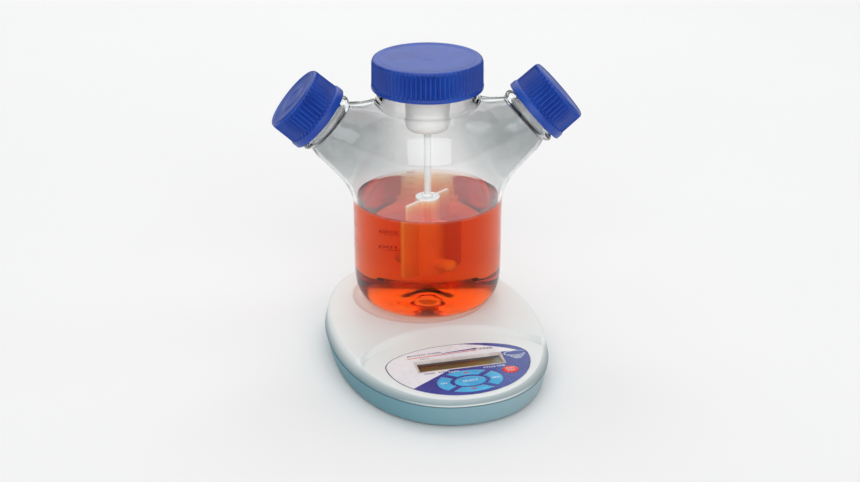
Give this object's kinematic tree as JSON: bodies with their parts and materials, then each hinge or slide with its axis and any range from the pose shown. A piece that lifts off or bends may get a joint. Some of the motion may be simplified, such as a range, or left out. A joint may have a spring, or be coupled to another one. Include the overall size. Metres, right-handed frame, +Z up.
{
  "type": "magnetic stirrer with spinner flask",
  "caption": "Low magnetic stirrer with sloped keypad and display, carrying a glass spinner flask with angled side arms, ribbed screw caps, hanging paddle and orange medium.",
  "frame": {"origin": "centre of the bounding box in plan, at the bench under the rubber feet", "axes": "+Z up; the control panel faces -Y; +X is to the right of someone reading the panel"},
  "size_m": [0.2294, 0.2328, 0.2195],
  "materials": {
    "housing": "satin",
    "housing_lower": "satin",
    "rubber": "matte",
    "steel": "satin",
    "board": "satin",
    "black_plastic": "matte",
    "overlay": "satin",
    "key_blue": "satin",
    "key_red": "satin",
    "bezel": "satin",
    "lcd_glass": "gloss",
    "magnet": "satin",
    "glass": "gloss",
    "medium": "gloss",
    "cap_blue": "satin",
    "seal": "satin",
    "ptfe": "satin"
  },
  "bodies": {
    "base": {"capacitor": "steel", "case_screw_1": "steel", "case_screw_2": "steel", "case_screw_3": "steel", "case_screw_4": "steel", "control_board": "board", "dc_inlet": "black_plastic", "display_board": "board", "drive_motor": "steel", "driver_chip": "black_plastic", "lcd_bezel": "bezel", "lcd_glass": "lcd_glass", "lcd_module": "black_plastic", "lower_housing": "housing_lower", "motor_bracket": "steel", "motor_screw_1": "steel", "motor_screw_2": "steel", "motor_standoff_1": "steel", "motor_standoff_2": "steel", "panel_overlay": "overlay", "processor_chip": "black_plastic", "ribbon_cable": "bezel", "rubber_foot_1": "rubber", "rubber_foot_2": "rubber", "rubber_foot_3": "rubber", "rubber_foot_4": "rubber", "switch_down": "black_plastic", "switch_left": "black_plastic", "switch_right": "black_plastic", "switch_select": "black_plastic", "switch_start": "black_plastic", "switch_up": "black_plastic", "upper_housing": "housing"},
    "rotor": {"motor_shaft": "steel", "magnet_carrier": "black_plastic", "drive_magnet_north": "magnet", "drive_magnet_south": "magnet"},
    "flask": {"flask_glass": "glass", "culture_medium": "medium"},
    "centre_closure": {"centre_cap": "cap_blue", "centre_gasket": "seal", "impeller_adaptor": "ptfe", "shaft_bearing": "steel"},
    "impeller": {"impeller_shaft": "glass", "shaft_collar": "ptfe", "shaft_clip": "steel", "paddle": "ptfe", "stir_bar": "ptfe"},
    "left_liner": {"left_seal": "seal"},
    "left_cap": {"left_cap": "cap_blue"},
    "right_liner": {"right_seal": "seal"},
    "right_cap": {"right_cap": "cap_blue"},
    "key_up": {"key_up": "key_blue"},
    "key_down": {"key_down": "key_blue"},
    "key_left": {"key_left": "key_blue"},
    "key_right": {"key_right": "key_blue"},
    "key_select": {"key_select": "key_blue"},
    "key_start": {"key_start": "key_red"}
  },
  "joints": [
    {"name": "rotor_spin", "type": "hinge", "parent": "base", "child": "rotor", "pos_m": [-0.0062, 0.046, 0.0193], "axis": [0, 0, 1], "continuous": true},
    {"name": "flask_lift", "type": "slide", "parent": "base", "child": "flask", "axis": [0, 0, 1], "range_m": [0, 0.08]},
    {"name": "closure_lift", "type": "slide", "parent": "flask", "child": "centre_closure", "axis": [0, 0, 1], "range_m": [0, 0.19]},
    {"name": "impeller_spin", "type": "hinge", "parent": "centre_closure", "child": "impeller", "pos_m": [0, 0.0482, 0.1986], "axis": [0, 0, 1], "continuous": true},
    {"name": "left_cap_rise", "type": "slide", "parent": "flask", "child": "left_liner", "axis": [-0.7417, 0.1122, 0.6613], "range_m": [0, 0.0272]},
    {"name": "left_cap_turn", "type": "hinge", "parent": "left_liner", "child": "left_cap", "pos_m": [-0.079, 0.06015, 0.1747], "axis": [-0.7417, 0.1122, 0.6613], "range_deg": [0, 2430]},
    {"name": "right_cap_rise", "type": "slide", "parent": "flask", "child": "right_liner", "axis": [0.7417, -0.1122, 0.6613], "range_m": [0, 0.0272]},
    {"name": "right_cap_turn", "type": "hinge", "parent": "right_liner", "child": "right_cap", "pos_m": [0.079, 0.03625, 0.1747], "axis": [0.7417, -0.1122, 0.6613], "range_deg": [0, 2430]},
    {"name": "key_up_press", "type": "slide", "parent": "base", "child": "key_up", "axis": [0, -0.0616, 0.9981], "range_m": [-0.0004, 0], "stiffness_N_per_m": 400},
    {"name": "key_down_press", "type": "slide", "parent": "base", "child": "key_down", "axis": [0, -0.0616, 0.9981], "range_m": [-0.0004, 0], "stiffness_N_per_m": 400},
    {"name": "key_left_press", "type": "slide", "parent": "base", "child": "key_left", "axis": [0, -0.0616, 0.9981], "range_m": [-0.0004, 0], "stiffness_N_per_m": 400},
    {"name": "key_right_press", "type": "slide", "parent": "base", "child": "key_right", "axis": [0, -0.0616, 0.9981], "range_m": [-0.0004, 0], "stiffness_N_per_m": 400},
    {"name": "key_select_press", "type": "slide", "parent": "base", "child": "key_select", "axis": [0, -0.0616, 0.9981], "range_m": [-0.0004, 0], "stiffness_N_per_m": 400},
    {"name": "key_start_press", "type": "slide", "parent": "base", "child": "key_start", "axis": [0, -0.0616, 0.9981], "range_m": [-0.0004, 0], "stiffness_N_per_m": 400}
  ],
  "couplings": [
    {"joint": "impeller_spin", "follows": "rotor_spin", "ratio": 1},
    {"joint": "left_cap_rise", "follows": "left_cap_turn", "m_per_rad": 0.00063662},
    {"joint": "right_cap_rise", "follows": "right_cap_turn", "m_per_rad": 0.00063662}
  ]
}
